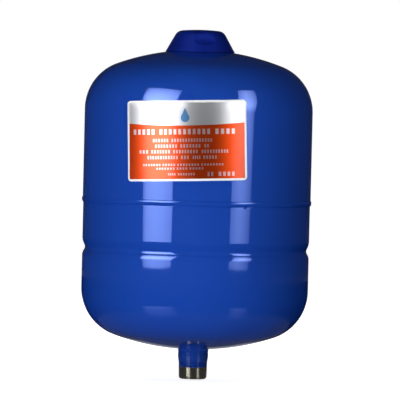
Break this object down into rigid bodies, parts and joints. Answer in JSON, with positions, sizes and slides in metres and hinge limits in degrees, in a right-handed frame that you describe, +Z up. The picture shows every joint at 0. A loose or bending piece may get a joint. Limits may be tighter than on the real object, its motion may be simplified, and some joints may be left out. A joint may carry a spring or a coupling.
{
  "type": "accumulator tank",
  "caption": "Blue steel water accumulator with domed ends, a rubber diaphragm inside, an air valve under a cone cover on top and a threaded water nipple below.",
  "frame": {"origin": "centre of the lower end face of the water nipple", "axes": "+Z up along the tank's axis, the label on the -Y side, +X to the right of the label"},
  "size_m": [0.2112, 0.2112, 0.3202],
  "materials": {
    "tank_paint": "gloss blue",
    "plated_steel": "plated",
    "valve_brass": "turned",
    "spring_steel": "drawn wire",
    "liner_plastic": "moulded",
    "core_plastic": "moulded",
    "cap_plastic": "moulded",
    "cover_plastic": "moulded blue",
    "diaphragm_rubber": "moulded",
    "seal_rubber": "moulded",
    "label_film": "orange and white film"
  },
  "bodies": {
    "tank": {"upper_shell": "tank_paint", "lower_shell": "tank_paint", "girth_weld": "tank_paint", "clamp_ring": "plated_steel", "water_liner": "liner_plastic", "diaphragm": "diaphragm_rubber", "water_nipple": "plated_steel", "nipple_weld": "tank_paint", "nipple_seal_ring": "seal_rubber", "valve_boss": "plated_steel", "boss_weld": "tank_paint", "valve_body": "valve_brass", "valve_seal_ring": "seal_rubber", "core_plug": "valve_brass", "core_barrel": "valve_brass", "core_gasket": "core_plastic", "core_spring": "spring_steel", "rating_label": "label_film"},
    "valve_cover": {"valve_cover": "cover_plastic"},
    "cap_seal": {"dust_cap_seal": "seal_rubber"},
    "dust_cap": {"dust_cap": "cap_plastic"},
    "core_pin": {"core_pin": "valve_brass", "core_cup": "valve_brass", "core_seal": "seal_rubber"}
  },
  "joints": [
    {"name": "cover_pull", "type": "slide", "parent": "tank", "child": "valve_cover", "axis": [0, 0, 1], "range_m": [0, 0.03]},
    {"name": "cap_lift", "type": "slide", "parent": "tank", "child": "cap_seal", "axis": [0, 0, 1], "range_m": [0, 0.0044]},
    {"name": "cap_turn", "type": "hinge", "parent": "cap_seal", "child": "dust_cap", "pos_m": [0, 0, 0.3116], "axis": [0, 0, 1], "range_deg": [0, 1995.59]},
    {"name": "core_press", "type": "slide", "parent": "tank", "child": "core_pin", "axis": [0, 0, -1], "range_m": [0, 0.0013], "stiffness_N_per_m": 800, "springref_m": -0.003, "deforming": ["core_spring"]}
  ],
  "couplings": [
    {"joint": "cap_turn", "follows": "cap_lift", "rad_per_m": 7915.8}
  ]
}
